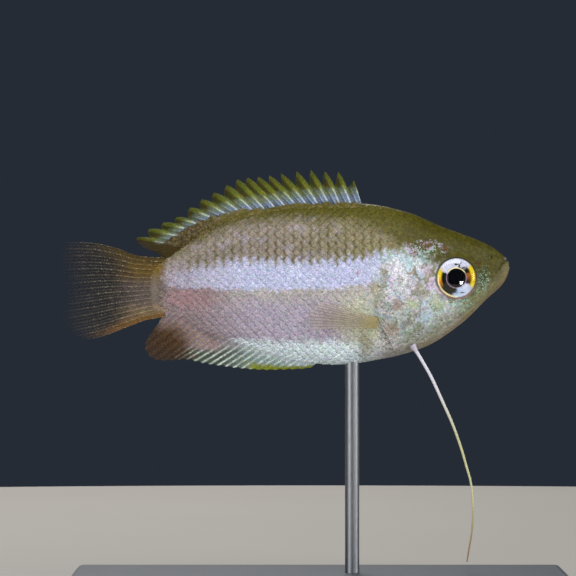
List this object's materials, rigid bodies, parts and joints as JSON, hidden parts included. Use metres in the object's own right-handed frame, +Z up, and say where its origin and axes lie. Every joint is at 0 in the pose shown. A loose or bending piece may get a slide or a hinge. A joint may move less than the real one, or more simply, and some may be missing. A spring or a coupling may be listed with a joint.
{
  "type": "honey gourami",
  "caption": "Life-size still model of a honey gourami swimming level, with thread-like pelvic fins, held on a plain flat base by one slim rod.",
  "frame": {"origin": "middle of the underside of the stand's base", "axes": "+X towards the fish's head, +Y towards the fish's left side, +Z up from the base to the back"},
  "size_m": [0.0572, 0.028, 0.0482],
  "materials": {
    "silver_flank": "semi-gloss",
    "gill_cover_silver": "semi-gloss",
    "eye": "gloss",
    "olive_fin": "semi-gloss",
    "silver_green_fin": "semi-gloss",
    "smoky_fin": "semi-gloss",
    "amber_fin": "semi-gloss",
    "cream_thread": "satin",
    "slate_base": "matte",
    "steel_rod": "brushed"
  },
  "bodies": {
    "root": {"head": "silver_flank", "lower_jaw": "silver_flank", "gill_cover_right": "gill_cover_silver", "gill_cover_left": "gill_cover_silver", "trunk": "silver_flank", "tail_stalk": "silver_flank", "eye_right": "eye", "eye_left": "eye", "dorsal_fin": "olive_fin", "anal_fin": "silver_green_fin", "caudal_fin": "smoky_fin", "pectoral_fin_right": "amber_fin", "pectoral_fin_left": "amber_fin", "pelvic_fin_right": "cream_thread", "pelvic_fin_left": "cream_thread", "stand_base": "slate_base", "stand_rod": "steel_rod"}
  },
  "joints": []
}
